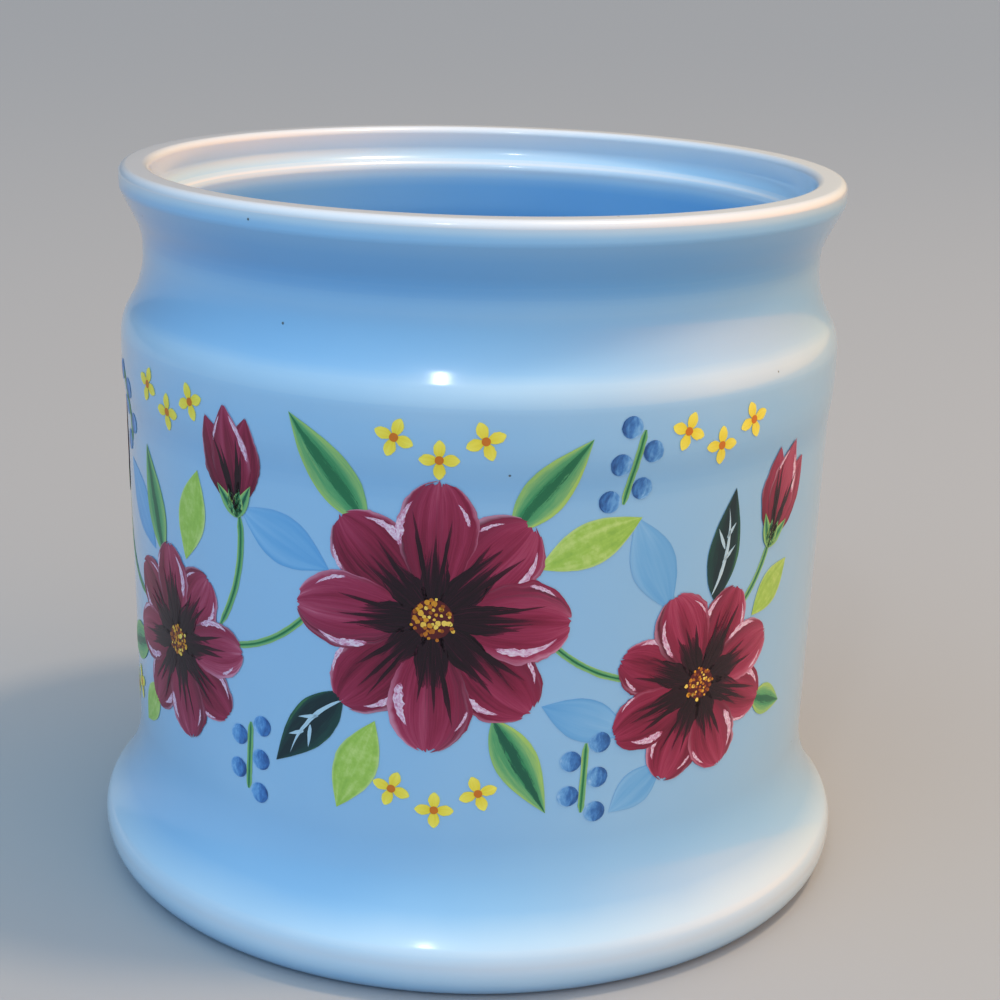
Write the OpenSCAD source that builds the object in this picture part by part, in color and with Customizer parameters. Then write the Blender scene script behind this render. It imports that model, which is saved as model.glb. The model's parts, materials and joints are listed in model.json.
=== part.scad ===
// Open stoneware keeper jar with a lid seat, a waisted neck, a flared foot
// and a fired-on floral print. Millimetres, +Z up, origin under the centre of the foot.

/* [Jar] */
// Height from the table to the top of the lip
jar_h = 119.4; // [114:0.1:132]
// Thickness of the side wall
wall_t = 3.8; // [3:0.1:4.4]
// Outside diameter at the bottom of the side wall
wall_bottom_d = 117.9; // [115:0.1:119]
// Outside diameter at the top of the side wall
wall_top_d = 119.4; // [118:0.1:120.4]

/* [Lip] */
// Outside diameter of the lip
lip_d = 120; // [117:0.5:126]
// Width of the lip, from its outside to the wall of the lid seat
lip_w = 5; // [4.4:0.1:5.6]
// Radius of the two top edges of the lip
lip_edge_r = 1.3; // [0.6:0.1:1.8]
// Height of the upright outer face of the lip
lip_face_h = 1.8; // [1:0.1:4]
// Radius that turns the face of the lip into its flared underside
lip_under_r = 2; // [1:0.5:4]
// Angle of the flare under the lip, from upright
lip_angle = 26.5; // [20:0.5:35]

/* [Lid seat] */
// Height of the upright wall round a seated lid
seat_wall_h = 2.4; // [1.6:0.1:5]
// Radius of the cove under that wall
seat_cove_r = 3; // [2:0.1:4]
// Radius of the rounded edge of the ledge
seat_bead_r = 2; // [1.2:0.1:2.6]

/* [Waist] */
// Outside diameter of the waist
waist_d = 113; // [110.5:0.1:115]
// Height of the upright stretch of the waist
waist_h = 1.3; // [0.5:0.1:4]
// Radius of the waist's upper curve, towards the lip
waist_top_r = 10; // [6:0.5:14]
// Radius of the waist's lower curve, towards the shoulder
waist_bottom_r = 14; // [8:0.5:18]

/* [Shoulder] */
// Outside diameter of the shoulder band
shoulder_d = 120.8; // [119.6:0.1:124]
// Height of the upright shoulder band
shoulder_h = 5; // [3:0.5:8]
// Radius of the shoulder's top edge
shoulder_r = 6; // [5:0.5:9]
// Angle of the slope above the shoulder, from upright
shoulder_angle = 26; // [18:0.5:35]
// Radius of the soft swell from the side wall out to the shoulder band
swell_r = 36; // [16:1:60]

/* [Foot] */
// Largest diameter of the foot
foot_d = 130.9; // [126:0.1:136]
// Radius of the foot's outer edge, below its widest place
foot_edge_r = 7; // [5:0.5:9]
// Angle over which that edge turns before it meets the table
foot_edge_angle = 64; // [50:1:75]
// Radius of the foot above its widest place
foot_bulge_r = 6; // [4:0.5:10]
// Radius of the cove between the foot and the side wall
foot_cove_r = 22; // [12:1:28]
// Angle of the slope between the two, from upright
foot_angle = 32; // [24:1:40]
// Width of the bare ring that stands on the table
foot_ring_w = 4; // [3:0.5:7]
// Depth of the recess under the floor
recess_h = 1.8; // [1:0.1:3]

/* [Inside] */
// Thickness of the floor
floor_t = 4; // [3:0.1:6]
// How far the inside widens at the floor
floor_flare = 3.4; // [2:0.1:4.4]
// Radius between the floor and the inside wall
floor_edge_r = 4; // [2:0.5:6]

/* [Print] */
// Thickness of one colour of the fired-on print
print_t = 0.15; // [0.1:0.05:0.3]
// Thickness of the clear flux between the glaze and the colours
print_gap = 0.08; // [0.05:0.01:0.1]
// Distance that the print keeps from the foot's cove and the shoulder's edge
print_margin = 0.9; // [0.5:0.1:4]
// Height of the sheet that the print is drawn on, which is fitted to the wall
sheet_h = 66; // [60:0.5:72]
// Diameter of the large open blossom on the sheet
large_blossom_d = 42; // [36:1:46]
// Diameter of the two smaller open blossoms on the sheet
small_blossom_d = 33; // [28:1:36]
// Number of petals on an open blossom
petal_count = 8; // [6:1:10]
// Reach of the dark heart from the middle of its blossom, as a share of the diameter
heart_share = 0.3; // [0.2:0.01:0.36]
// Diameter of the stamens, as a share of the diameter of their blossom
stamen_share = 0.15; // [0.1:0.01:0.2]
// Length of the half-open buds
bud_len = 17; // [12:1:18]
// Width of one petal of a bud
bud_petal_w = 7.8; // [6:0.1:9]
// Width of the stems
stem_w = 1.1; // [0.8:0.1:1.6]
// Diameter of the small berries
berry_d = 3.4; // [2.4:0.1:4]
// Diameter of the small star flowers
star_d = 6; // [4:0.5:7]

/* [Hidden] */

arc_steps = 6;
round_fn = 48;
// Where a petal is fullest, as a share of its length, its width there, as a share of the
// room between its neighbours, and how blunt its ends are, where 1 is pointed
petal_full_share = 0.66;
petal_width_share = 1.15;
petal_end_ratio = 0.55;
// Width of a point of the dark heart, as a share of its length
heart_width_share = 0.43;
// Angle of a bud's two back petals, and their size as a share of the front one
bud_angle = 16;
bud_back_share = 0.92;
// Where the green leaves are fullest, as a share of their length
green_full_share = 0.42;
// Berries on a sprig, and the distance from one to the next along the stem
berry_count = 5;
berry_step = 0.85 * berry_d;
// Distance between star flowers, rise and turn of the outer two, and depth of the
// notches between their petals, as a share of the radius
star_step = 1.1 * star_d;
star_rise = 0.5 * star_d;
star_angle = 20;
star_notch_share = 0.64;

lip_r = lip_d / 2;
seat_r = lip_r - lip_w;
waist_r = waist_d / 2;
neck_in_r = waist_r - wall_t;
shoulder_out_r = shoulder_d / 2;
wall_top_r = wall_top_d / 2;
wall_bottom_r = wall_bottom_d / 2;
foot_r = foot_d / 2;

// How far a step between two upright lines, d apart, leans when it is made of two tangent
// arcs and a straight slope of at most the given lean between them
function step_lean(d, ra, rb, lean) =
    min(lean, acos(max(-1, 1 - abs(d) / (ra + rb))));

// Length of that straight slope
function step_slope(d, ra, rb, lean) =
    let (a = step_lean(d, ra, rb, lean))
    (abs(d) - (ra + rb) * (1 - cos(a))) / sin(a);

// Height that the whole step takes
function step_h(d, ra, rb, lean) =
    let (a = step_lean(d, ra, rb, lean))
    (ra + rb) * sin(a) + step_slope(d, ra, rb, lean) * cos(a);

// Points of the step, climbing from the point "from" to the radius to_r
function step_up(from, to_r, ra, rb, lean) =
    let (
        d = to_r - from.x,
        side = sign(d),
        a = step_lean(d, ra, rb, lean),
        top = from.y + step_h(d, ra, rb, lean),
        skip = step_slope(d, ra, rb, lean) < 0.01 ? 1 : 0
    )
    concat(
        [for (i = [0:arc_steps])
            let (t = a * i / arc_steps)
            from + [side * ra * (1 - cos(t)), ra * sin(t)]],
        [for (i = [arc_steps - skip:-1:0])
            let (t = a * i / arc_steps)
            [to_r - side * rb * (1 - cos(t)), top - rb * sin(t)]]
    );

// Points of an arc about a centre, from one angle to another
function arc(centre, r, from_a, to_a) =
    [for (i = [0:arc_steps])
        let (t = from_a + (to_a - from_a) * i / arc_steps)
        centre + r * [cos(t), sin(t)]];

function reversed(points) = [for (i = [len(points) - 1:-1:0]) points[i]];

// Heights, stacked down from the lip
lip_face_top = jar_h - lip_edge_r;
lip_face_z = lip_face_top - lip_face_h;
waist_top_z = lip_face_z - step_h(lip_r - waist_r, waist_top_r, lip_under_r, lip_angle);
waist_z = waist_top_z - waist_h;
shoulder_top_z = waist_z
    - step_h(shoulder_out_r - waist_r, shoulder_r, waist_bottom_r, shoulder_angle);
shoulder_z = shoulder_top_z - shoulder_h;
wall_top_z = shoulder_z
    - step_h(shoulder_out_r - wall_top_r, swell_r, swell_r, shoulder_angle);

// Heights, stacked up from the table
foot_z = foot_edge_r * sin(foot_edge_angle);
wall_bottom_z = foot_z
    + step_h(foot_r - wall_bottom_r, foot_bulge_r, foot_cove_r, foot_angle);
floor_z = recess_h + floor_t;

// The ledge that a lid rests on
seat_z = lip_face_top - seat_wall_h;
ledge_z = seat_z - step_h(seat_r - neck_in_r, seat_bead_r, seat_cove_r, 90);

// Outline of the outside, from the table to the waist
foot_outline = arc([foot_r - foot_edge_r, foot_z], foot_edge_r, -foot_edge_angle, 0);
foot_step = step_up([foot_r, foot_z], wall_bottom_r, foot_bulge_r, foot_cove_r, foot_angle);
wall_outline = concat(
    step_up([wall_top_r, wall_top_z], shoulder_out_r, swell_r, swell_r, shoulder_angle),
    step_up(
        [shoulder_out_r, shoulder_top_z], waist_r, shoulder_r, waist_bottom_r,
        shoulder_angle
    )
);
lip_outline = concat(
    step_up([waist_r, waist_top_z], lip_r, waist_top_r, lip_under_r, lip_angle),
    arc([lip_r - lip_edge_r, lip_face_top], lip_edge_r, 0, 90),
    arc([seat_r + lip_edge_r, lip_face_top], lip_edge_r, 90, 180)
);
seat_outline = step_up([neck_in_r, ledge_z], seat_r, seat_bead_r, seat_cove_r, 90);

// A step of the inside, one wall thickness in from a step of the outside
function inside_step(from, to_r, ra, rb, lean) =
    let (grow = to_r > from.x ? wall_t : -wall_t)
    step_up(from, to_r, ra + grow, rb - grow, lean);

floor_edge = [wall_bottom_r - wall_t + floor_flare, floor_z + floor_edge_r];
inside_outline = concat(
    arc(floor_edge - [floor_edge_r, 0], floor_edge_r, -90, 0),
    inside_step(
        floor_edge, wall_bottom_r - wall_t, floor_edge_r + wall_t, foot_cove_r, foot_angle
    ),
    inside_step(
        [wall_top_r - wall_t, wall_top_z], shoulder_out_r - wall_t, swell_r, swell_r,
        shoulder_angle
    ),
    inside_step(
        [shoulder_out_r - wall_t, shoulder_top_z], neck_in_r, shoulder_r, waist_bottom_r,
        shoulder_angle
    )
);

ring_out_r = foot_outline[0].x;
ring_in_r = ring_out_r - foot_ring_w;
underside = [[0, recess_h], [ring_in_r - recess_h / 2, recess_h], [ring_in_r, 0]];

module jar() {
    color([0.62, 0.79, 0.92])
        rotate_extrude($fn = 180)
            polygon(concat(
                underside, foot_outline, foot_step, wall_outline, lip_outline,
                reversed(seat_outline), reversed(inside_outline), [[0, floor_z]]
            ));
}

// The printed part of the outside: the side wall, the swell and the shoulder band
print_line = concat(
    [[wall_bottom_r, wall_bottom_z]],
    step_up([wall_top_r, wall_top_z], shoulder_out_r, swell_r, swell_r, shoulder_angle),
    [[shoulder_out_r, shoulder_top_z]]
);
print_h = shoulder_top_z - wall_bottom_z - 2 * print_margin;
print_fit = print_h / sheet_h;
print_mid_z = (wall_bottom_z + shoulder_top_z) / 2;
print_core = wall_bottom_r / 2;
print_reach = max(wall_bottom_r, wall_top_r, shoulder_out_r) + print_gap + 2 * print_t;

// The film that the colours share, each beside the next
module film() {
    rotate_extrude($fn = 180)
        polygon(concat(
            [for (p = print_line) p + [print_gap, 0]],
            [for (p = reversed(print_line)) p + [print_gap + print_t, 0]]
        ));
}

// Places on the sheet are in percent of its height, to the right of and above its middle.
// This carries a shape from such a place out through the wall, turned on its own centre
module at_wall(place, turn = 0) {
    step = print_h / 100;
    rotate([0, 0, place[0] * step * 360 / (PI * (wall_bottom_r + wall_top_r))])
        translate([0, 0, print_mid_z + place[1] * step])
            rotate([90, 0, 0])
                translate([0, 0, print_core])
                    linear_extrude(print_reach - print_core)
                        rotate(turn)
                            scale(print_fit)
                                children();
}

// A length on the sheet, from percent of its height
function drawn(percent) = percent / 100 * sheet_h;

// Blossoms, buds and sprigs: place, then diameter or turn
open_blossoms = [
    [-82, -17, small_blossom_d, 10],
    [-9, 3, large_blossom_d, 0],
    [57, -18, small_blossom_d, 20]
];
buds = [[-127, 9, 20], [-58, 21, 6], [79, 12, -20]];
berry_sprigs = [[-110, 26, 10], [-55, -30, 176], [33, 29, -14], [27, -28, 178]];
star_sprigs = [[-82, 40], [-8, 40], [58, 40], [-123, -44], [-8, -44]];

// Leaves by colour: place, length, width and turn
green_sprays = [
    [-24, 24, 30, 10.5, 38], [8, 24, 27, 10, -40], [-30, -17, 27, 10.5, 140],
    [5, -21, 27, 10, -152], [-88, 3, 27, 10, 18], [-101, -24, 26, 10, 108],
    [60, 2, 27, 10, -10], [77, -27, 15, 8, -110]
];
lime_sprays = [
    [14, 15, 26, 10.5, -66], [-22, -23, 25, 10.5, 158], [-77, 5, 24, 10.5, -14],
    [-94, -33, 18, 9, 140], [74, -5, 18, 9, -52]
];
blue_sprays = [
    [-33, 12, 26, 12, 66], [-93, 3, 26, 11.5, 45], [47, 2, 26, 11.5, 24],
    [16, -18, 23, 10.5, -112], [47, -36, 17, 9, 128]
];

// Stems as parts of circles: place of the centre, radius, start and end angle
stems = [
    [-96, 20, 33, 200, 260], [-104, 16, 46, -32, 6], [48, 23, 33, -55, -20],
    [-66, 23, 36, -80, -36], [44, 21, 36, 222, 258]
];

// A petal or leaf outline that runs from its base at the origin up to its tip, fullest
// at the given share of its length, with ends that are pointed at 1 and blunter below
module blade(length, width, full_share, end_ratio = 1) {
    count = 2 * arc_steps;
    power = ln(0.5) / ln(full_share);
    half = [for (i = [1:count - 1])
        let (t = (1 - cos(180 * i / count)) / 2)
        [width / 2 * pow(sin(180 * pow(t, power)), end_ratio), length * t]];
    mirrored = [for (p = reversed(half)) [-p.x, p.y]];
    polygon(concat([[0, 0]], half, [[0, length]], mirrored));
}

module open_blossom(d) {
    petal_w = petal_width_share * PI * d * petal_full_share / petal_count;
    for (i = [0:petal_count - 1])
        rotate(i * 360 / petal_count)
            blade(d / 2, petal_w, petal_full_share, petal_end_ratio);
    circle(d = petal_full_share * d / 2, $fn = round_fn);
}

module bud() {
    for (lean = [-bud_angle, bud_angle])
        rotate(lean)
            blade(bud_len * bud_back_share, bud_petal_w * bud_back_share, 0.5);
    blade(bud_len, bud_petal_w, 0.5);
}

// What is printed, each kind carried out through the wall
module blossoms() {
    for (b = open_blossoms)
        at_wall(b, b[3])
            open_blossom(b[2]);
    for (b = buds)
        at_wall(b, b[2])
            bud();
}

module hearts() {
    for (b = open_blossoms)
        at_wall(b, b[3])
            for (i = [0:petal_count - 1])
                rotate(i * 360 / petal_count)
                    blade(b[2] * heart_share, b[2] * heart_share * heart_width_share, 0.5);
}

module stamens() {
    for (b = open_blossoms)
        at_wall(b, b[3])
            circle(d = b[2] * stamen_share, $fn = round_fn);
}

module sprays(list, full_share) {
    for (s = list)
        at_wall(s, s[4])
            blade(drawn(s[2]), drawn(s[3]), full_share);
}

// One colour: its first child, less what is printed in other colours over it
module colour() {
    intersection() {
        film();
        difference() {
            children(0);
            if ($children > 1)
                children([1:$children - 1]);
        }
    }
}

module blossom_petals() {
    color([0.66, 0.2, 0.3])
        colour() {
            blossoms();
            hearts();
            stamens();
        }
}

module blossom_hearts() {
    color([0.24, 0.06, 0.12])
        colour() {
            hearts();
            stamens();
        }
}

module blossom_stamens() {
    color([0.86, 0.64, 0.2])
        colour() stamens();
}

module green_leaves() {
    color([0.16, 0.44, 0.27])
        colour() {
            union() {
                sprays(green_sprays, green_full_share);
                for (s = stems)
                    at_wall(s)
                        stem(drawn(s[2]), s[3], s[4]);
                for (s = berry_sprigs)
                    at_wall(s, s[2])
                        translate([-stem_w / 2, 0])
                            square([stem_w, (berry_count - 1) * berry_step]);
            }
            blossoms();
        }
}

// A stem drawn along part of a circle
module stem(r, from_a, to_a) {
    polygon(concat(
        arc([0, 0], r, from_a, to_a),
        reversed(arc([0, 0], r - stem_w, from_a, to_a))
    ));
}

module lime_leaves() {
    color([0.62, 0.76, 0.28])
        colour() {
            sprays(lime_sprays, 0.5);
            blossoms();
        }
}

module blue_leaves() {
    color([0.42, 0.64, 0.84])
        colour() {
            sprays(blue_sprays, 0.5);
            blossoms();
        }
}

// Berries sit in turn to the left and right of their stem and just touch it
module blue_berries() {
    color([0.24, 0.46, 0.7])
        colour() {
            for (s = berry_sprigs)
                at_wall(s, s[2])
                    for (i = [0:berry_count - 1])
                        translate([(i % 2 == 0 ? -1 : 1) * (berry_d + stem_w) / 2, i * berry_step])
                            circle(d = berry_d, $fn = 24);
            blossoms();
        }
}

module yellow_stars() {
    color([0.93, 0.84, 0.24])
        colour() {
            for (s = star_sprigs)
                at_wall(s)
                    for (i = [-1:1])
                        translate([i * star_step, abs(i) * star_rise])
                            rotate(i * star_angle)
                                star();
            blossoms();
        }
}

// A four-petalled star flower, as one outline
module star() {
    polygon([for (i = [0:6 * 4 - 1])
        let (a = i * 15, r = star_d / 2 * (1 - star_notch_share * (1 - cos(4 * a)) / 2))
        [r * cos(a), r * sin(a)]]);
}

jar();
blossom_petals();
blossom_hearts();
blossom_stamens();
green_leaves();
lime_leaves();
blue_leaves();
blue_berries();
yellow_stars();
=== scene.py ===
import json
import math
import random
from collections import namedtuple

import bpy
from mathutils import Matrix, Vector, kdtree, noise

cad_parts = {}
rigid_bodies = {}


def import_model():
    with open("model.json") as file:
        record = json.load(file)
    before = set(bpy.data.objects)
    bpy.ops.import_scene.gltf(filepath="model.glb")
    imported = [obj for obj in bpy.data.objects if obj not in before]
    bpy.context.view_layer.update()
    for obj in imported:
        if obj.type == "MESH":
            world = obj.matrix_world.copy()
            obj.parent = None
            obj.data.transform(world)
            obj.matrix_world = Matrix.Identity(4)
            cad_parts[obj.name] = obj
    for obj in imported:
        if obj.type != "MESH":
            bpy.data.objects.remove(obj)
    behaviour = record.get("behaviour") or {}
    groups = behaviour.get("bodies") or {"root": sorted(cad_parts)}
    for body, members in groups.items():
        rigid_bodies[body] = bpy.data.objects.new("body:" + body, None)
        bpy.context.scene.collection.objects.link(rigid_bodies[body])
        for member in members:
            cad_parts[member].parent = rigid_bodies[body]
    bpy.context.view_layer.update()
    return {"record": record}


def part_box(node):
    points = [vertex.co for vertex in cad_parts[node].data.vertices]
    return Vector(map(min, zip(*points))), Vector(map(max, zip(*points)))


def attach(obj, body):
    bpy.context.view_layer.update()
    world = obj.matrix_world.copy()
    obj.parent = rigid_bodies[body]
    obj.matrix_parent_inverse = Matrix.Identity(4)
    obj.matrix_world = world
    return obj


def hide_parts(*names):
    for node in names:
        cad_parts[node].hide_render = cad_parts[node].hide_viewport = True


# An open keeper jar of pale blue glazed stoneware with a fired-on floral print.
# Everything is in metres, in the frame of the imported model.

for default_object in list(bpy.data.objects):
    bpy.data.objects.remove(default_object)

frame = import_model()
record = frame["record"]

MM = 0.001

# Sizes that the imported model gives
jar_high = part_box("jar")[1]
JAR_H = jar_high.z
FOOT_R = jar_high.x
lid_seat = next(m for m in record["mounts"] if m["name"] == "lid_seat")
SEAT_R = lid_seat["dims"]["r_mm"] * MM
SEAT_WALL_H = lid_seat["dims"]["length_mm"] * MM

# Driving sizes of the turned profile, from the lip down. The slopes of the shoulder and of
# the foot lean more than in the solid, so that each has the short highlight of the
# photograph, and the foot is a little fuller under its widest place. All of it stays within
# 0.6 mm of the solid
WALL_T = 3.8 * MM
LIP_W = 5 * MM
LIP_EDGE_R = 1.3 * MM
LIP_FACE_H = 1.8 * MM
LIP_UNDER_R = 2 * MM
LIP_ANGLE = math.radians(26.5)
SEAT_COVE_R = 3 * MM
SEAT_BEAD_R = 2 * MM
WAIST_R = 56.5 * MM
WAIST_H = 1.3 * MM
WAIST_TOP_R = 10 * MM
WAIST_BOTTOM_R = 16.4 * MM
SHOULDER_OUT_R = 60.4 * MM
SHOULDER_H = 4 * MM
SHOULDER_R = 9 * MM
SHOULDER_ANGLE = math.radians(30)
SWELL_R = 36 * MM
WALL_TOP_R = 59.7 * MM
WALL_BOTTOM_R = 58.95 * MM
FOOT_EDGE_R = 6.2 * MM
FOOT_EDGE_ANGLE = math.radians(64)
FOOT_FACE_H = 0.72 * MM
FOOT_BULGE_R = 4.5 * MM
FOOT_COVE_R = 24 * MM
FOOT_ANGLE = math.radians(39.5)
FOOT_RING_W = 4 * MM
RECESS_H = 1.8 * MM
FLOOR_T = 4 * MM
FLOOR_FLARE = 3.4 * MM
FLOOR_EDGE_R = 4 * MM

LIP_R = SEAT_R + LIP_W
NECK_IN_R = WAIST_R - WALL_T

# How finely the jar is turned, and how close two points may lie
ARC_STEPS = 20
TURN_STEPS = 192
STATION = 3 * MM
POINT_GAP = 0.01 * MM
WELD_GAP = 0.005 * MM
STROKE_WELD_GAP = 0.002 * MM
SMOOTH_ANGLE = math.radians(35)
TABLE_TOUCH = 0.1 * MM

# How the glaze runs, with painted light and shade in the same value: above 0 it is thinner and
# paler, below 0 it pools and is deeper. The glaze itself thins over edges and pools in hollows;
# paler where the outline faces up is painted light, and deeper where it faces down is painted shade.
# How much the outline bends is measured over each of the reaches
RUN_REACHES = (1.1 * MM, 2.8 * MM)
HOLLOW_POOLING = 1.8
# Painted shade where the outline faces down, and painted light where it faces up and, on top of the glaze's
# own thinning, on edges that face up
DOWN_PAINTED_SHADE = 0.8
UP_PAINTED_LIGHT = 0.15
EDGE_THINNING = 0.075
EDGE_UP_PAINTED_LIGHT = 1.5
# Painted shade: the inside below the ledge is made deeper
INSIDE_PAINTED_SHADE = -0.22
# Painted light: paler up the seat's wall, from the ledge to the top of the lip
SEAT_PAINTED_LIGHT = 0.05
SEAT_WALL_TOP_PAINTED_LIGHT = 0.5
# Painted highlight: a pale band on the seat's bead, reaching this far below the ledge
BEAD_PAINTED_HIGHLIGHT = 0.3
BEAD_LOW = -0.3 * SEAT_BEAD_R
# Painted light: paler round the foot, most at its widest place, fading out up to the first height and down
# to the second
FOOT_PAINTED_LIGHT = 0.32
FOOT_PAINTED_LIGHT_TOP = 14 * MM
FOOT_PAINTED_LIGHT_LOW = 1.5 * MM


def tint(red, green, blue):
    """A colour as it is seen on screen, 0 to 255, in the linear values that a shader takes."""
    def linear(value):
        value = value / 255
        return value / 12.92 if value <= 0.04045 else ((value + 0.055) / 1.055) ** 2.4
    return (linear(red), linear(green), linear(blue), 1)


def clear_selection():
    bpy.ops.object.select_all(action="DESELECT")


def select_only(*pieces):
    clear_selection()
    for piece in pieces:
        piece.select_set(True)
    bpy.context.view_layer.objects.active = pieces[0]


# The turned profile

def step_lean(d, ra, rb, lean):
    """The lean of a step d wide, less than asked where its two arcs alone are wider than d."""
    return min(lean, math.acos(max(-1, 1 - abs(d) / (ra + rb))))


def step_slope(d, ra, rb, lean):
    """Length of the straight slope between the two arcs of a step."""
    a = step_lean(d, ra, rb, lean)
    return (abs(d) - (ra + rb) * (1 - math.cos(a))) / math.sin(a)


def step_h(d, ra, rb, lean):
    """Height that a step of two tangent arcs and a slope takes to reach d sideways."""
    a = step_lean(d, ra, rb, lean)
    return (ra + rb) * math.sin(a) + step_slope(d, ra, rb, lean) * math.cos(a)


def step_up(start, to_r, ra, rb, lean):
    """Points of that step, climbing from the point start to the radius to_r."""
    d = to_r - start[0]
    side = math.copysign(1, d)
    a = step_lean(d, ra, rb, lean)
    top = start[1] + step_h(d, ra, rb, lean)
    turns = [a * i / ARC_STEPS for i in range(ARC_STEPS + 1)]
    first = [(start[0] + side * ra * (1 - math.cos(t)), start[1] + ra * math.sin(t)) for t in turns]
    second = [(to_r - side * rb * (1 - math.cos(t)), top - rb * math.sin(t)) for t in reversed(turns)]
    return first + second


def arc(centre, r, start, end):
    """Points of an arc about a centre, between two angles in degrees."""
    turns = [math.radians(start + (end - start) * i / ARC_STEPS) for i in range(ARC_STEPS + 1)]
    return [(centre[0] + r * math.cos(t), centre[1] + r * math.sin(t)) for t in turns]


LIP_FACE_TOP = JAR_H - LIP_EDGE_R
LIP_FACE_Z = LIP_FACE_TOP - LIP_FACE_H
WAIST_TOP_Z = LIP_FACE_Z - step_h(LIP_R - WAIST_R, WAIST_TOP_R, LIP_UNDER_R, LIP_ANGLE)
WAIST_Z = WAIST_TOP_Z - WAIST_H
SHOULDER_TOP_Z = WAIST_Z - step_h(SHOULDER_OUT_R - WAIST_R, SHOULDER_R, WAIST_BOTTOM_R, SHOULDER_ANGLE)
SHOULDER_Z = SHOULDER_TOP_Z - SHOULDER_H
WALL_TOP_Z = SHOULDER_Z - step_h(SHOULDER_OUT_R - WALL_TOP_R, SWELL_R, SWELL_R, SHOULDER_ANGLE)
FOOT_FACE_Z = FOOT_EDGE_R * math.sin(FOOT_EDGE_ANGLE)
FOOT_Z = FOOT_FACE_Z + FOOT_FACE_H
FLOOR_Z = RECESS_H + FLOOR_T
SEAT_Z = LIP_FACE_TOP - SEAT_WALL_H
LEDGE_Z = SEAT_Z - step_h(SEAT_R - NECK_IN_R, SEAT_BEAD_R, SEAT_COVE_R, math.pi / 2)


def inside_step(start, to_r, ra, rb, lean):
    """A step of the inside, one wall thickness in from a step of the outside."""
    grow = WALL_T if to_r > start[0] else -WALL_T
    return step_up(start, to_r, ra + grow, rb - grow, lean)


def outside_outline():
    """The outside from the ring of the foot up to the top of the lip."""
    foot_edge_from = -math.degrees(FOOT_EDGE_ANGLE)
    return (
        arc((FOOT_R - FOOT_EDGE_R, FOOT_FACE_Z), FOOT_EDGE_R, foot_edge_from, 0)
        + step_up((FOOT_R, FOOT_Z), WALL_BOTTOM_R, FOOT_BULGE_R, FOOT_COVE_R, FOOT_ANGLE)
        + step_up((WALL_TOP_R, WALL_TOP_Z), SHOULDER_OUT_R, SWELL_R, SWELL_R, SHOULDER_ANGLE)
        + step_up((SHOULDER_OUT_R, SHOULDER_TOP_Z), WAIST_R, SHOULDER_R, WAIST_BOTTOM_R, SHOULDER_ANGLE)
        + step_up((WAIST_R, WAIST_TOP_Z), LIP_R, WAIST_TOP_R, LIP_UNDER_R, LIP_ANGLE)
        + arc((LIP_R - LIP_EDGE_R, LIP_FACE_TOP), LIP_EDGE_R, 0, 90)
    )


def inside_outline():
    """The inside from the top of the lip down to the middle of the floor."""
    wall_in = WALL_BOTTOM_R - WALL_T
    floor_edge = (wall_in + FLOOR_FLARE, FLOOR_Z + FLOOR_EDGE_R)
    shoulder_in = SHOULDER_OUT_R - WALL_T
    seat = step_up((NECK_IN_R, LEDGE_Z), SEAT_R, SEAT_BEAD_R, SEAT_COVE_R, math.pi / 2)
    climb = (
        arc((floor_edge[0] - FLOOR_EDGE_R, floor_edge[1]), FLOOR_EDGE_R, -90, 0)
        + inside_step(floor_edge, wall_in, FLOOR_EDGE_R + WALL_T, FOOT_COVE_R, FOOT_ANGLE)
        + inside_step((WALL_TOP_R - WALL_T, WALL_TOP_Z), shoulder_in, SWELL_R, SWELL_R, SHOULDER_ANGLE)
        + inside_step((shoulder_in, SHOULDER_TOP_Z), NECK_IN_R, SHOULDER_R, WAIST_BOTTOM_R, SHOULDER_ANGLE)
    )
    edge = arc((SEAT_R + LIP_EDGE_R, LIP_FACE_TOP), LIP_EDGE_R, 90, 180)
    return edge + seat[::-1] + climb[::-1] + [(0, FLOOR_Z)]


def underside():
    """The recessed base from the axis out to the ring of the foot."""
    ring_out = FOOT_R - FOOT_EDGE_R + FOOT_EDGE_R * math.cos(FOOT_EDGE_ANGLE)
    ring_in = ring_out - FOOT_RING_W
    return [(0, RECESS_H), (ring_in - RECESS_H / 2, RECESS_H), (ring_in, 0)]


def with_stations(outline):
    """The outline with no point twice, and long straight stretches cut into stations."""
    points = [outline[0]]
    for x, z in outline[1:]:
        last_x, last_z = points[-1]
        gap = math.hypot(x - last_x, z - last_z)
        if gap < POINT_GAP:
            continue
        cuts = max(1, round(gap / STATION))
        for i in range(1, cuts + 1):
            points.append((last_x + (x - last_x) * i / cuts, last_z + (z - last_z) * i / cuts))
    return points


def turn_jar():
    """The jar's outline, extruded point by point from one vertex and spun about the axis."""
    outline = with_stations(underside() + outside_outline() + inside_outline())
    clear_selection()
    bpy.ops.mesh.primitive_plane_add(size=MM, location=(0, 0, 0))
    jar = bpy.context.object
    jar.name = "jar_glazed"
    bpy.ops.object.mode_set(mode="EDIT")
    bpy.ops.mesh.select_all(action="SELECT")
    bpy.ops.mesh.merge(type="CENTER")
    bpy.ops.transform.translate(value=(outline[0][0], 0, outline[0][1]))
    for last, point in zip(outline, outline[1:]):
        move = (point[0] - last[0], 0, point[1] - last[1])
        bpy.ops.mesh.extrude_region_move(TRANSFORM_OT_translate={"value": move})
    bpy.ops.mesh.select_all(action="SELECT")
    bpy.ops.mesh.spin(steps=TURN_STEPS, angle=2 * math.pi, center=(0, 0, 0), axis=(0, 0, 1))
    bpy.ops.mesh.select_all(action="SELECT")
    bpy.ops.mesh.remove_doubles(threshold=WELD_GAP)
    bpy.ops.mesh.normals_make_consistent(inside=False)
    bpy.ops.object.mode_set(mode="OBJECT")
    mark_glaze_and_painted_light(jar, outline)
    bpy.ops.object.shade_smooth_by_angle(angle=SMOOTH_ANGLE)
    return jar


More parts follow.
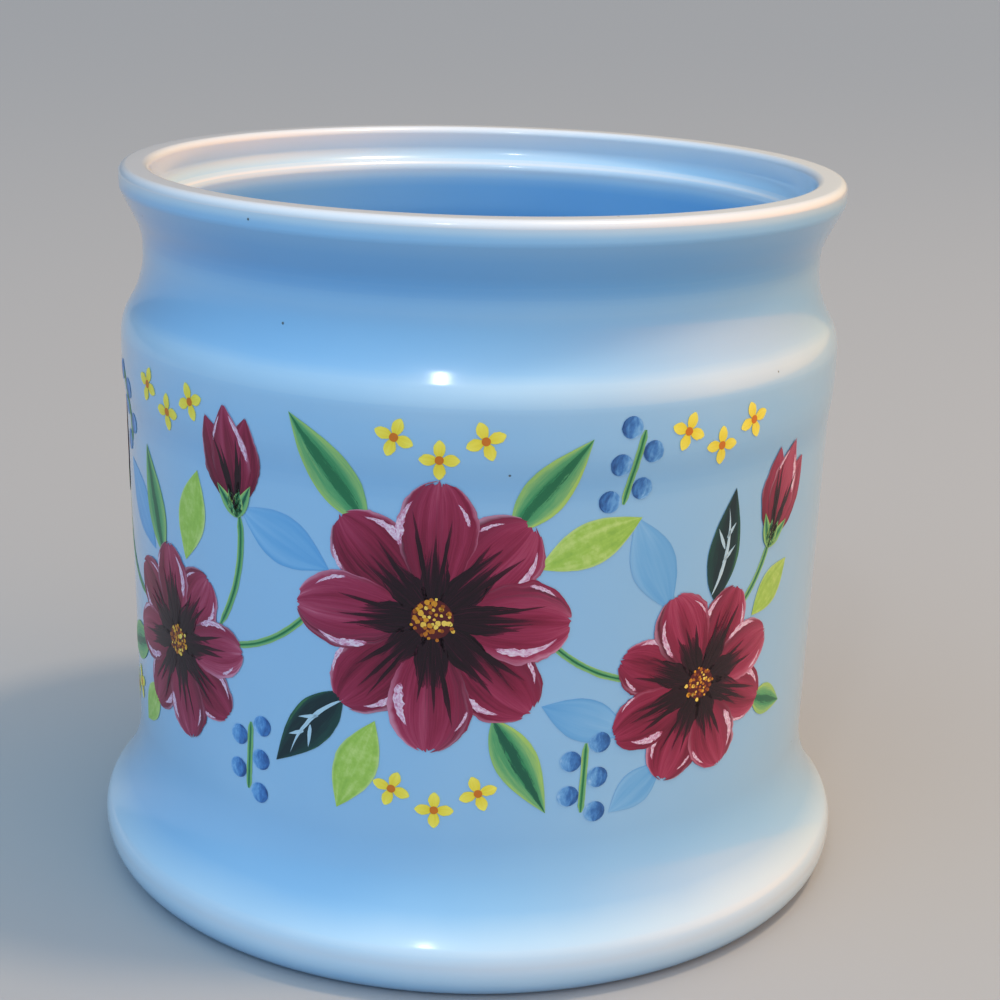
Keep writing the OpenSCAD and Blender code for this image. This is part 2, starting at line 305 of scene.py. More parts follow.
def glaze_run_and_painted_light(outline, i, reach):
    """How the glaze runs at a point of the outline, from its bend, with painted light and shade from how
    far it faces up or down.
    """
    at = outline[i]
    before = next((p for p in reversed(outline[:i]) if math.dist(p, at) >= reach), None)
    after = next((p for p in outline[i + 1:] if math.dist(p, at) >= reach), None)
    if not before or not after:
        return 0
    one = Vector((at[0] - before[0], at[1] - before[1]))
    two = Vector((after[0] - at[0], after[1] - at[1]))
    bend = -one.angle_signed(two) / (one.length + two.length) * 2 * MM
    facing_up = (before[0] - after[0]) / math.dist(before, after)
    edge = bend * HOLLOW_POOLING
    if bend > 0:
        # The glaze thins over an edge, with painted light added where the edge faces up
        edge = max(0, min(bend, EDGE_THINNING + EDGE_UP_PAINTED_LIGHT * bend * facing_up))
    # Painted light where the outline faces up, painted shade where it faces down
    return edge + facing_up * (UP_PAINTED_LIGHT if facing_up > 0 else DOWN_PAINTED_SHADE)


def inside_painted_light_and_shade(run, z):
    """Painted light and shade inside: painted shade making it deep below the ledge, a painted highlight on
    its bead and painted light growing up the seat's wall.
    """
    # Painted highlight on the bead
    if BEAD_LOW < z - LEDGE_Z < SEAT_BEAD_R:
        return max(run, BEAD_PAINTED_HIGHLIGHT)
    # Painted shade inside, below the ledge
    if z < LEDGE_Z:
        return run + INSIDE_PAINTED_SHADE
    # Painted light growing up the seat's wall
    return max(run, SEAT_PAINTED_LIGHT + (SEAT_WALL_TOP_PAINTED_LIGHT - SEAT_PAINTED_LIGHT) * (z - LEDGE_Z) / (JAR_H - LEDGE_Z))


def foot_painted_light(run, z):
    """Painted light down the outside: paler round the foot, and less so again at its lowest edge."""
    if z > FOOT_PAINTED_LIGHT_TOP:
        return run
    down = min(1, (FOOT_PAINTED_LIGHT_TOP - z) / (FOOT_PAINTED_LIGHT_TOP - FOOT_Z))
    low = min(1, max(0, (z - FOOT_PAINTED_LIGHT_LOW) / (FOOT_Z - FOOT_PAINTED_LIGHT_LOW)))
    return max(run, FOOT_PAINTED_LIGHT * down * low)


def mark_glaze_and_painted_light(jar, outline):
    """Mark each point of the jar with how the glaze runs, and with the painted light and shade, at its
    place on the outline.
    """
    stations = kdtree.KDTree(len(outline))
    inside_start = len(outline) - len(with_stations(inside_outline()))
    runs_and_painted_light = []
    for i, (x, z) in enumerate(outline):
        stations.insert((x, z, 0), i)
        run = max(glaze_run_and_painted_light(outline, i, reach) for reach in RUN_REACHES)
        runs_and_painted_light.append(inside_painted_light_and_shade(run, z) if i > inside_start else foot_painted_light(run, z))
    stations.balance()
    # The run attribute holds the glaze's own run together with the painted light and shade
    run = jar.data.attributes.new("run", "FLOAT", "POINT")
    for vertex in jar.data.vertices:
        r = math.hypot(vertex.co.x, vertex.co.y)
        run.data[vertex.index].value = runs_and_painted_light[stations.find((r, vertex.co.z, 0))[1]]


class Nodes:
    """A tree of shader nodes. An input is a number, a colour or another node's output."""

    def __init__(self, tree):
        self.tree = tree

    def fill(self, node, inputs):
        for key, value in inputs.items():
            key = key.replace("_", " ") if isinstance(key, str) else key
            if isinstance(value, bpy.types.NodeSocket):
                self.tree.links.new(value, node.inputs[key])
            else:
                node.inputs[key].default_value = value

    def node(self, kind, inputs, output=0, **settings):
        node = self.tree.nodes.new("ShaderNode" + kind)
        for key, value in settings.items():
            setattr(node, key, value)
        self.fill(node, inputs)
        return node.outputs[output]

    def math(self, operation, a, b=0.0, c=0.0):
        return self.node("Math", {0: a, 1: b, 2: c}, operation=operation)


class Recipe(Nodes):
    """The nodes of one material."""

    def __init__(self, name, **finish):
        self.material = bpy.data.materials.new(name)
        self.material.use_nodes = True
        super().__init__(self.material.node_tree)
        self.shader = self.tree.nodes["Principled BSDF"]
        self.fill(self.shader, finish)

    def place(self):
        return self.node("TexCoord", {}, "Object")

    def stroke_place(self):
        return self.node("UVMap", {}, 0, uv_map="UVMap")

    def marked(self, name):
        return self.node("Attribute", {}, "Fac", attribute_name=name)

    def mix(self, factor, a, b):
        return self.node("Mix", {0: factor, 6: a, 7: b}, 2, data_type="RGBA")

    def stroke_axes(self):
        """How far across and along its brush stroke a point lies, both from 0 to 1."""
        split = self.tree.nodes.new("ShaderNodeSeparateXYZ")
        self.tree.links.new(self.stroke_place(), split.inputs[0])
        return split.outputs[0], split.outputs[1]

    def off_middle(self, across):
        """0 along the middle of a brush stroke and 1 at its sides."""
        return self.math("ABSOLUTE", self.math("MULTIPLY_ADD", across, 2.0, -1.0))

    def noise(self, place, scale, detail=2.0, roughness=0.5, seed=None):
        """Soft noise; where a seed is given, each of its values has noise of its own."""
        inputs = {"Vector": place, "Scale": scale, "Detail": detail, "Roughness": roughness}
        if seed is None:
            return self.node("TexNoise", inputs, "Fac")
        inputs["W"] = self.math("MULTIPLY", seed, 40.0)
        return self.node("TexNoise", inputs, "Fac", noise_dimensions="4D")

    def streaks(self, across, along, detail=4, roughness=0.6):
        """Noise laid along a brush stroke, with this many streaks across and along it."""
        place = self.node("Mapping", {"Vector": self.stroke_place(), "Scale": (across, along, 1)})
        return self.noise(place, 1.0, detail, roughness, self.marked("shade"))

    def fade(self, value, start, end):
        """0 where the value is at start and 1 at end, with a soft run between them."""
        inputs = {"Value": value, "From Min": start, "From Max": end}
        return self.node("MapRange", inputs, interpolation_type="SMOOTHSTEP")

    def ramp(self, value, stops):
        ramp = self.tree.nodes.new("ShaderNodeValToRGB")
        elements = ramp.color_ramp.elements
        while len(elements) < len(stops):
            elements.new(0.5)
        for element, (position, colour) in zip(elements, stops):
            element.position = position
            element.color = colour
        self.tree.links.new(value, ramp.inputs[0])
        return ramp.outputs[0]

    def colour(self, value):
        self.tree.links.new(value, self.shader.inputs["Base Color"])

    def bump(self, height, distance):
        normal = self.node("Bump", {"Height": height, "Distance": distance})
        self.tree.links.new(normal, self.shader.inputs["Normal"])


# Dark specks: cells to the metre, and the share of them that holds one
SPECK_CELLS = 420
SPECK_SHARE = 0.015
# How deep each surface is dented
PEEL_DEPTH = 0.015 * MM
CLAY_DEPTH = 0.05 * MM


def blue_glaze():
    """Clear pale blue glaze: white where it runs thin over an edge, deeper where it pools, with painted
    light and shade: paler where it faces up, on the seat's bead and wall and round the foot, deeper where
    it faces down and inside below the ledge.
    """
    glaze = Recipe("sky_blue_glaze", Roughness=0.32, Coat_Weight=1.0, Coat_Roughness=0.12, IOR=1.5)
    place = glaze.place()
    # The run attribute carries painted light and shade as well as the glaze's own run
    run = glaze.marked("run")
    cloud = glaze.noise(place, 34, detail=3)
    wobble = glaze.math("MULTIPLY_ADD", cloud, 0.16, -0.08)
    depth = glaze.math("ADD", run, wobble)
    body = glaze.ramp(glaze.math("ADD", depth, 0.4), [
        (0.0, tint(98, 168, 226)),
        (0.34, tint(134, 187, 230)),
        (0.42, tint(142, 192, 232)),
        (0.58, tint(174, 209, 236)),
        (0.86, tint(213, 221, 232)),
    ])
    cells = {"Vector": place, "Scale": SPECK_CELLS}
    from_middle = glaze.node("TexVoronoi", cells, "Distance")
    cell_pick = glaze.node("SeparateColor", {0: glaze.node("TexVoronoi", cells, "Color")})
    chosen = glaze.math("GREATER_THAN", cell_pick, 1 - SPECK_SHARE)
    speck = glaze.math("MULTIPLY", glaze.fade(from_middle, 0.11, 0.06), chosen)
    glaze.colour(glaze.mix(speck, body, tint(70, 92, 104)))
    peel = glaze.noise(place, 260, detail=1)
    swell = glaze.noise(place, 30, detail=1)
    height = glaze.math("MULTIPLY_ADD", swell, 4.0, peel)
    height = glaze.math("MULTIPLY_ADD", speck, -6.0, height)
    glaze.bump(height, PEEL_DEPTH)
    return glaze.material


def bare_clay():
    """The unglazed ring that the jar was fired on."""
    clay = Recipe("bare_clay", Roughness=0.85)
    grain = clay.noise(clay.place(), 900, detail=4)
    clay.colour(clay.ramp(grain, [(0.3, tint(190, 172, 148)), (0.7, tint(226, 212, 190))]))
    clay.bump(grain, CLAY_DEPTH)
    return clay.material


def glaze_jar(jar):
    """Glaze all over, and bare clay where the foot's ring touches the table."""
    jar.data.materials.append(blue_glaze())
    jar.data.materials.append(bare_clay())
    for face in jar.data.polygons:
        if max(jar.data.vertices[i].co.z for i in face.vertices) < TABLE_TOUCH:
            face.material_index = 1


jar = turn_jar()
glaze_jar(jar)
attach(jar, "root")
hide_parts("jar")

# The print, drawn on a flat sheet that is fitted to the wall. Places on the sheet are in
# percent of its height, to the right of its middle and up, and turns are in degrees
PRINT_LOW_Z = 25.62 * MM
PRINT_HIGH_Z = 91.64 * MM
PRINT_H = PRINT_HIGH_Z - PRINT_LOW_Z
PRINT_MID_Z = (PRINT_LOW_Z + PRINT_HIGH_Z) / 2
PRINT_WALL_R = (WALL_BOTTOM_R + WALL_TOP_R) / 2
SHEET_H = 66 * MM
PRINT_FIT = PRINT_H / SHEET_H

# Each coat is laid a little proud of the one before. They are counted from the wall outwards
FLUX_T = 0.03 * MM
COAT_T = 0.016 * MM
COAT_STEP = 0.02 * MM
WASH_COAT = 0
STEM_COAT = 1
LIME_COAT = 2
SPRIG_COAT = 2
GREEN_COAT = 3
LOWER_PETAL_COAT = 4
UPPER_PETAL_COAT = 5
LIGHT_OVER = 0.5
SEPAL_COAT = 6
THROAT_COAT = 6
BRISTLE_COAT = 6.5
STAMEN_GROUND_COAT = 7
STAMEN_COAT = 8

LARGE_BLOSSOM_D = 42 * MM
SMALL_BLOSSOM_D = 33 * MM
PETALS = 8
PETAL_FULL_SHARE = 0.66
PETAL_WIDTH_SHARE = 1.15
PETAL_END_RATIO = 0.55
LIGHT_LENGTH_SHARE = 0.96
LIGHT_WIDTH_SHARE = 0.98
LIGHT_REACH = 0.975
HEART_SHARE = 0.3
HEART_WIDTH_SHARE = 0.43
STAMEN_SHARE = 0.15
STAMEN_DOTS = 48
SEED_ANGLE = math.radians(137.5)
BUD_LEN = 17 * MM
BUD_PETAL_W = 7.8 * MM
BUD_BACK_SHARE = 0.92
BUD_ANGLE = 16
BUD_DARK_W = 0.9 * MM
SEPAL_W = 2.1 * MM
SEPAL_DROP = 0.7 * MM
STEM_W = 1.1 * MM
STEM_END_SHARE = 0.35
STEM_TAPER = 7
VEIN_W = 0.7 * MM
BERRY_D = 3.4 * MM
BERRIES = 5
BERRY_STEP = 0.85 * BERRY_D
STAR_D = 6 * MM
STAR_POINTS = 4
STAR_POINT_W = 0.3 * STAR_D
STAR_EYE_SHARE = 0.22
STAR_STEP = 1.1 * STAR_D
STAR_RISE = 0.5 * STAR_D
STAR_ANGLE = 20
GREEN_FULL_SHARE = 0.42

Blossom = namedtuple("Blossom", "right up turn d")
Sprig = namedtuple("Sprig", "right up turn")
Leaf = namedtuple("Leaf", "right up turn length width")
Stem = namedtuple("Stem", "right up turn r start end")

OPEN_BLOSSOMS = [
    Blossom(-82, -17, 10, SMALL_BLOSSOM_D),
    Blossom(-9, 3, 0, LARGE_BLOSSOM_D),
    Blossom(57, -18, 20, SMALL_BLOSSOM_D),
]
BUDS = [Sprig(-127, 9, 20), Sprig(-58, 21, 6), Sprig(79, 12, -20)]
BERRY_SPRIGS = [Sprig(-110, 26, 10), Sprig(-55, -30, 176), Sprig(33, 29, -14), Sprig(27, -28, 178)]
STAR_SPRIGS = [Sprig(right, up, 0) for right, up in ((-82, 40), (-8, 40), (58, 40), (-123, -44), (-8, -44))]

# Lengths and widths of leaves are in percent of the sheet's height too
GREEN_SPRAYS = [
    Leaf(-24, 24, 38, 30, 10.5),
    Leaf(8, 24, -40, 27, 10),
    Leaf(-30, -17, 140, 27, 10.5),
    Leaf(5, -21, -152, 27, 10),
    Leaf(-88, 3, 18, 27, 10),
    Leaf(-101, -24, 108, 26, 10),
    Leaf(60, 2, -10, 27, 10),
    Leaf(77, -27, -110, 15, 8),
]
LIME_SPRAYS = [
    Leaf(14, 15, -66, 26, 10.5),
    Leaf(-22, -23, 158, 25, 10.5),
    Leaf(-77, 5, -14, 24, 10.5),
    Leaf(-94, -33, 140, 18, 9),
    Leaf(74, -5, -52, 18, 9),
]
BLUE_SPRAYS = [
    Leaf(-33, 12, 66, 26, 12),
    Leaf(-93, 3, 45, 26, 11.5),
    Leaf(47, 2, 24, 26, 11.5),
    Leaf(16, -18, -112, 23, 10.5),
    Leaf(47, -36, 128, 17, 9),
]

# Stems are parts of circles, placed by their centres. Their radii are in percent too, and
# they run between two angles, in degrees from the right
STEMS = [
    Stem(-96, 20, 0, 33, 200, 260),
    Stem(-104, 16, 0, 46, -32, 6),
    Stem(48, 23, 0, 33, -55, -20),
    Stem(-66, 23, 0, 36, -80, -36),
    Stem(44, 21, 0, 36, 222, 258),
]

# Every fourth green leaf, from the third, is a dark one with a pale vein
DARK_LEAF_EVERY = 4
DARK_LEAF_FIRST = 2

# Strokes are marked with a shade from 0 to 1, or with this for their enamel's second colour
SECOND_MARK = 2

# The small differences between strokes all come from this hand, in the order of painting
hand = random.Random(11)

# Share of a stroke, to each side of a point, over which its direction is measured
NUDGE = 0.0005


def drawn(percent):
    """A length on the sheet from its percent of the sheet's height."""
    return percent / 100 * SHEET_H


def straight(length):
    """The middle line of a stroke from the origin straight up."""
    return lambda t: (0, length * t)


def curve(r, start, end, centre=(0, 0)):
    """The middle line of a stroke along part of a circle."""
    def at(t):
        a = math.radians(start + (end - start) * t)
        return (centre[0] + r * math.cos(a), centre[1] + r * math.sin(a))
    return at


def leaf_width(width, full_share, end_ratio=1.0):
    """Half the width along a petal or leaf, whose ends are pointed at 1 and blunter below."""
    power = math.log(0.5) / math.log(full_share)
    return lambda t: width / 2 * max(0, math.sin(math.pi * t ** power)) ** end_ratio


def dry_width(width, full_share, end_share):
    """Half the width along a dry stroke: pointed at its start and still open where the paint runs out."""
    def half(t):
        if t < full_share:
            return width / 2 * math.sin(math.pi / 2 * max(0, t) / full_share)
        return width / 2 * (1 - (1 - end_share) * (t - full_share) / (1 - full_share))
    return half


def stroke(middle, half_width, across=4, along=16, ragged=0.0, frayed=0.0, shade=None):
    """One flat brush stroke that faces the front: a grid laid along a middle line.

    Ragged sides wander in and out, and a frayed end runs out early along some of the bristles.
    """
    shade = hand.random() if shade is None else shade
    seed = hand.uniform(0, 100)
    bpy.ops.mesh.primitive_grid_add(x_subdivisions=across, y_subdivisions=along, size=1)
    piece = bpy.context.object
    for vertex in piece.data.vertices:
        side = 2 * vertex.co.x
        t = (1 - math.cos(math.pi * (vertex.co.y + 0.5))) / 2
        t *= 1 - frayed * (0.5 + noise.noise((seed + 9 * side, seed, 0)))
        x, y = middle(t)
        from_x, from_y = middle(t - NUDGE)
        to_x, to_y = middle(t + NUDGE)
        run = math.hypot(to_x - from_x, to_y - from_y)
        wander = noise.noise((seed + 3 * side, 9 * t, seed)) + 0.6 * noise.noise((seed, 31 * t, 5 * side))
        reach = side * half_width(t) * (1 + ragged * wander * abs(side))
        vertex.co = (x + reach * (to_y - from_y) / run, 0, y - reach * (to_x - from_x) / run)
    marks = piece.data.attributes.new("shade", "FLOAT", "POINT")
    marks.data.foreach_set("value", [shade] * len(piece.data.vertices))
    return piece


def move(piece, turn=0, x=0, y=0, size=1):
    """Size and turn a flat piece about the origin, then shift it on the sheet."""
    piece.data.transform(
        Matrix.Translation((x, 0, y))
        @ Matrix.Rotation(-math.radians(turn), 4, "Y")
        @ Matrix.Diagonal((size, size, size, 1))
    )
    return piece


def join(pieces, name=None):
    select_only(*pieces)
    bpy.ops.object.join()
    whole = bpy.context.object
    if name:
        whole.name = name
        whole.data.name = name
    return whole


def press(piece, place, coat):
    """Carry a flat motif to its place in front of the wall, press it on and give it thickness."""
    piece.data.transform(
        Matrix.Translation((0, -2 * FOOT_R, PRINT_MID_Z + place.up / 100 * PRINT_H))
        @ Matrix.Rotation(-math.radians(place.turn), 4, "Y")
        @ Matrix.Diagonal((PRINT_FIT, 1, PRINT_FIT, 1))
    )
    piece.rotation_euler.z = place.right / 100 * PRINT_H / PRINT_WALL_R
    wrap = piece.modifiers.new("wrap", "SHRINKWRAP")
    wrap.target = jar
    wrap.wrap_method = "PROJECT"
    wrap.use_project_y = True
    wrap.wrap_mode = "ABOVE_SURFACE"
    wrap.offset = FLUX_T + coat * COAT_STEP
    thick = piece.modifiers.new("thick", "SOLIDIFY")
    thick.thickness = COAT_T
    thick.offset = 1
    select_only(piece)
    bpy.ops.object.modifier_apply(modifier="wrap")
    bpy.ops.object.modifier_apply(modifier="thick")
    bpy.ops.object.transform_apply(location=True, rotation=True, scale=True)
    return piece


def finish_piece(pieces, name, node, material):
    """Join the pressed strokes of one enamel into a piece that stands for its CAD node."""
    whole = join(pieces, name)
    whole.data.materials.clear()
    whole.data.materials.append(material)
    bpy.ops.object.mode_set(mode="EDIT")
    bpy.ops.mesh.select_all(action="SELECT")
    bpy.ops.mesh.remove_doubles(threshold=STROKE_WELD_GAP)
    bpy.ops.object.mode_set(mode="OBJECT")
    bpy.ops.object.shade_smooth_by_angle(angle=SMOOTH_ANGLE)
    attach(whole, "root")
    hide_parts(node)


# The motifs, each drawn flat about the origin with its base there

def petal(length, width, full_share=0.5, end_ratio=1.0, shade=None):
    return stroke(straight(length), leaf_width(width, full_share, end_ratio), across=14, along=36,
                  ragged=0.09, frayed=0.045, shade=shade)


UPPER_RING = 0
LOWER_RING = 1


def petal_turns(first):
    """Turns of every second petal of a blossom: the lower ring starts at 1, the upper at 0."""
    return [i * 360 / PETALS for i in range(first, PETALS, 2)]


def petal_width(d):
    return PETAL_WIDTH_SHARE * math.pi * d * PETAL_FULL_SHARE / PETALS


def petal_ring(d, first):
    """One ring of petals of a blossom. Those of the lower ring are darker."""
    pieces = []
    for turn in petal_turns(first):
        length = d / 2 * hand.uniform(0.96, 1.03)
        width = petal_width(d) * hand.uniform(0.93, 1.06)
        shade = hand.uniform(0, 0.5) if first == LOWER_RING else hand.uniform(0.4, 1)
        one = petal(length, width, PETAL_FULL_SHARE, PETAL_END_RATIO, shade)
        pieces.append(move(one, turn=turn + hand.uniform(-2.5, 2.5)))
    return join(pieces)


def dab(d, x=0, y=0, across=8, along=10, ragged=0.0, shade=None):
    """A round touch of the brush."""
    def half(t):
        return d * math.sqrt(max(0, t * (1 - t)))
    piece = stroke(straight(d), half, across=across, along=along, ragged=ragged, shade=shade)
    return move(piece, x=x, y=y - d / 2)


def rim_light(length, half, side, start, end, inside, thick):
    """A pale broken stroke just inside one edge of a petal."""
    def middle(t):
        s = start + (end - start) * t
        return (side * inside * half(s), LIGHT_REACH * length * s)

    def swell(t):
        return thick * max(0, math.sin(math.pi * min(1, max(0, t)) ** 0.7)) ** 0.8
    return stroke(middle, swell, across=4, along=30, ragged=0.6)


def rim_lights(length, width, full_share, end_ratio):
    """One broad pale stroke on a side of the petal, and a short thin one on the other."""
    half = leaf_width(width, full_share, end_ratio)
    side = hand.choice((-1, 1))
    long_start = hand.uniform(0.45, 0.6)
    broad = hand.uniform(0.024, 0.036) * length
    thin = hand.uniform(0.010, 0.016) * length
    long_end = hand.uniform(0.88, 0.93)
    long_inside = hand.uniform(0.80, 0.86)
    long_light = rim_light(length, half, side, long_start, long_end, long_inside, broad)
    short_start = hand.uniform(0.66, 0.74)
    short_inside = hand.uniform(0.85, 0.9)
    return [long_light, rim_light(length, half, -side, short_start, 0.91, short_inside, thin)]


def petal_lights(d, first):
    """The pale strokes of one ring of petals."""
    length = d / 2 * LIGHT_LENGTH_SHARE
    width = petal_width(d) * LIGHT_WIDTH_SHARE
    pieces = []
    for turn in petal_turns(first):
        for light in rim_lights(length, width, PETAL_FULL_SHARE, PETAL_END_RATIO):
            pieces.append(move(light, turn=turn))
    return join(pieces)


def dark_heart(d):
    """The dark throat of an open blossom: a dry stroke out along each petal."""
    pieces = []
    for i in range(PETALS):
        reach = HEART_SHARE * d * hand.uniform(0.92, 1.3)
        width = HEART_SHARE * d * HEART_WIDTH_SHARE * hand.uniform(0.8, 1.1)
        one = stroke(straight(reach), dry_width(width, 0.5, 0.55), across=18, along=26,
                     ragged=0.14, frayed=0.42)
        pieces.append(move(one, turn=i * 360 / PETALS + hand.uniform(-4, 4)))
    return join(pieces)


def dark_bristles(d):
    """Thin dry strokes that run on from the throat."""
    pieces = []
    for i in range(PETALS):
        for lean in (-9, 0, 9):
            length = HEART_SHARE * d * hand.uniform(1.0, 1.42)
            thick = hand.uniform(0.10, 0.19) * d / PETALS
            thin = stroke(straight(length), leaf_width(thick, 0.6), across=4, along=18, ragged=0.5)
            pieces.append(move(thin, turn=i * 360 / PETALS + lean + hand.uniform(-2, 2)))
    return join(pieces)


def stamen_ground(d):
    """The dark round ground under the stamens."""
    return dab(d * STAMEN_SHARE, ragged=0.1, shade=SECOND_MARK)


def stamen_dots(d):
    """Round touches of gold, packed like the seeds of a flower head."""
    r = STAMEN_SHARE * d / 2
    pieces = []
    for i in range(STAMEN_DOTS):
        out = r * math.sqrt((i + 0.5) / STAMEN_DOTS) * hand.uniform(0.86, 1.16)
        a = i * SEED_ANGLE + hand.uniform(-0.25, 0.25)
        touch = dab(r * hand.uniform(0.14, 0.3), across=4, along=6, ragged=0.5)
        pieces.append(move(touch, turn=hand.uniform(0, 360), x=out * math.cos(a), y=out * math.sin(a)))
    return join(pieces)


def bud_front():
    """The front petal of a half-open bud."""
    return petal(BUD_LEN, BUD_PETAL_W)


def bud_back():
    """The two petals behind it."""
    pieces = []
    for lean in (-BUD_ANGLE, BUD_ANGLE):
        pieces.append(move(petal(BUD_LEN, BUD_PETAL_W), turn=lean, size=BUD_BACK_SHARE))
    return join(pieces)


def bud_lights():
    """The pale strokes on the front petal."""
    return join(rim_lights(BUD_LEN, BUD_PETAL_W, 0.5, 1))


def bud_dark():
    """Dark strokes between the petals of a bud."""
    pieces = []
    for lean in (-14, -9, 9, 14):
        thin = stroke(straight(BUD_LEN * hand.uniform(0.55, 0.8)), leaf_width(BUD_DARK_W, 0.4),
                      across=3, along=18, ragged=0.4)
        pieces.append(move(thin, turn=lean))
    return join(pieces)


def sepals():
    """Small green leaves that hold a bud at its base."""
    pieces = []
    for lean, length in ((-34, 6.2), (34, 6.2), (-13, 4.6), (13, 4.6)):
        one = stroke(straight(length * MM), leaf_width(SEPAL_W, 0.4), across=4, along=14, ragged=0.06)
        pieces.append(move(one, turn=lean, y=-SEPAL_DROP))
    return join(pieces)


def leaf(spray, full_share=0.5, shade=None):
    length = drawn(spray.length)
    width = drawn(spray.width)
    return stroke(straight(length), leaf_width(width, full_share), across=10, along=32,
                  ragged=0.03, shade=shade)


def pale_vein(spray):
    """A pale forked vein on a dark leaf."""
    length = drawn(spray.length)
    width = drawn(spray.width)
    rib = curve(length, -24, 22, centre=(-length * 0.97, length * 0.45))
    pieces = [stroke(rib, leaf_width(VEIN_W, 0.4), across=2, along=20, ragged=0.3)]
    for start, lean, share in ((0.34, -38, 0.2), (0.46, 34, 0.22), (0.56, -30, 0.16)):
        fork = stroke(straight(length * share), leaf_width(0.09 * width, 0.35), across=2, along=10,
                      ragged=0.3)
        pieces.append(move(fork, turn=lean, y=start * length))
    return join(pieces)


def stem(middle):
    """A thin stroke along a middle line, a little thinner at its ends."""
    def half(t):
        return STEM_W / 2 * min(1, STEM_END_SHARE + STEM_TAPER * min(t, 1 - t))
    return stroke(middle, half, across=2, along=44, ragged=0.16)


def long_stem(arc_of_circle):
    """A stem along part of a circle, whose outer side has the radius given."""
    r = drawn(arc_of_circle.r) - STEM_W / 2
    return stem(curve(r, arc_of_circle.start, arc_of_circle.end))


def berry_stem():
    return stem(straight((BERRIES - 1) * BERRY_STEP))


def berry_row():
    """Berries in turn to the left and right of their stem."""
    pieces = []
    for i in range(BERRIES):
        side = -1 if i % 2 == 0 else 1
        pieces.append(dab(BERRY_D, side * (BERRY_D + STEM_W) / 2, i * BERRY_STEP, ragged=0.05))
    return join(pieces)


def star_flower():
    pieces = []
    for i in range(STAR_POINTS):
        point = stroke(straight(STAR_D / 2), leaf_width(STAR_POINT_W, 0.56, 0.7), across=5, along=12,
                       ragged=0.12)
        pieces.append(move(point, turn=i * 360 / STAR_POINTS))
    return join(pieces)


def star_eye():
    return dab(STAR_EYE_SHARE * STAR_D, shade=SECOND_MARK, ragged=0.1)


def star_trio(make):
    """Three star flowers, or three of their eyes, in a shallow bow."""
    pieces = []
    for i in (-1, 0, 1):
        pieces.append(move(make(), turn=i * STAR_ANGLE, x=i * STAR_STEP, y=abs(i) * STAR_RISE))
    return join(pieces)


# The enamels, all with less gloss than the glaze
THICK_BRUSH_DEPTH = 0.014 * MM
BRUSH_DEPTH = 0.012 * MM
FINE_BRUSH_DEPTH = 0.01 * MM
ENAMEL_FINISH = {"Roughness": 0.42, "Specular_IOR_Level": 0.3, "Coat_Weight": 0.15, "Coat_Roughness": 0.2}


def crimson_enamel():
    """Crimson brushed from a dark base to a rosy tip, with dry bristle streaks and a pale edge."""
    red = Recipe("crimson_enamel", **ENAMEL_FINISH)
    across, along = red.stroke_axes()
    side = red.off_middle(across)
    sweep = red.streaks(5, 1.0)
    bristle = red.streaks(46, 1.9, roughness=0.65)
    depth = red.math("MULTIPLY_ADD", along, 0.42, red.math("MULTIPLY_ADD", sweep, 1.1, -0.72))
    depth = red.math("MULTIPLY_ADD", bristle, 0.5, depth)
    depth = red.math("MULTIPLY_ADD", red.marked("shade"), 0.2, depth)
    body = red.ramp(depth, [
        (0.06, tint(48, 8, 28)),
        (0.20, tint(92, 14, 44)),
        (0.36, tint(130, 28, 62)),
        (0.52, tint(150, 44, 80)),
        (0.68, tint(168, 68, 100)),
        (0.86, tint(192, 114, 142)),
    ])
    shadow = red.math("MULTIPLY", red.fade(across, 0.36, 0.0), red.fade(sweep, 0.36, 0.6))
    shadow = red.math("MULTIPLY", shadow, red.fade(bristle, 0.3, 0.6))
    body = red.mix(shadow, body, tint(64, 12, 34))
    crease = red.math("MULTIPLY", red.fade(side, 0.24, 0.0), red.fade(along, 0.85, 0.3))
    crease = red.math("MULTIPLY", crease, red.fade(bristle, 0.44, 0.6))
    body = red.mix(crease, body, tint(46, 10, 28))
    rim = red.math("MULTIPLY", red.fade(side, 0.84, 0.97), red.fade(along, 0.35, 0.7))
    rim = red.math("MULTIPLY", rim, red.fade(sweep, 0.42, 0.58))
    red.colour(red.mix(red.math("MULTIPLY", rim, 0.7), body, tint(208, 150, 178)))
    red.bump(bristle, THICK_BRUSH_DEPTH)
    return red.material


def pale_rose_enamel():
    """Pale lilac rose that breaks up into the crimson under it where the brush ran dry."""
    pale = Recipe("pale_rose_enamel", **ENAMEL_FINISH)
    along = pale.stroke_axes()[1]
    ends = pale.math("MULTIPLY", pale.fade(along, 0.0, 0.3), pale.fade(along, 1.0, 0.75))
    dry = pale.streaks(3, 16, detail=5, roughness=0.7)
    cover = pale.math("MULTIPLY_ADD", ends, 0.22, dry)
    pale.colour(pale.ramp(cover, [
        (0.50, tint(150, 48, 82)),
        (0.60, tint(184, 104, 140)),
        (0.68, tint(208, 164, 196)),
        (0.82, tint(228, 212, 230)),
    ]))
    pale.bump(dry, THICK_BRUSH_DEPTH)
    return pale.material


def plum_enamel():
    """Nearly black plum that runs dry into the crimson towards the end of each stroke."""
    plum = Recipe("plum_enamel", **ENAMEL_FINISH)
    along = plum.stroke_axes()[1]
    streak = plum.streaks(30, 1.6, detail=5)
    dry = plum.math("MULTIPLY_ADD", plum.fade(along, 0.5, 1.0), 0.32, streak)
    plum.colour(plum.ramp(dry, [
        (0.40, tint(16, 5, 14)),
        (0.58, tint(36, 8, 26)),
        (0.72, tint(78, 14, 42)),
        (0.90, tint(122, 26, 60)),
    ]))
    plum.bump(streak, FINE_BRUSH_DEPTH)
    return plum.material


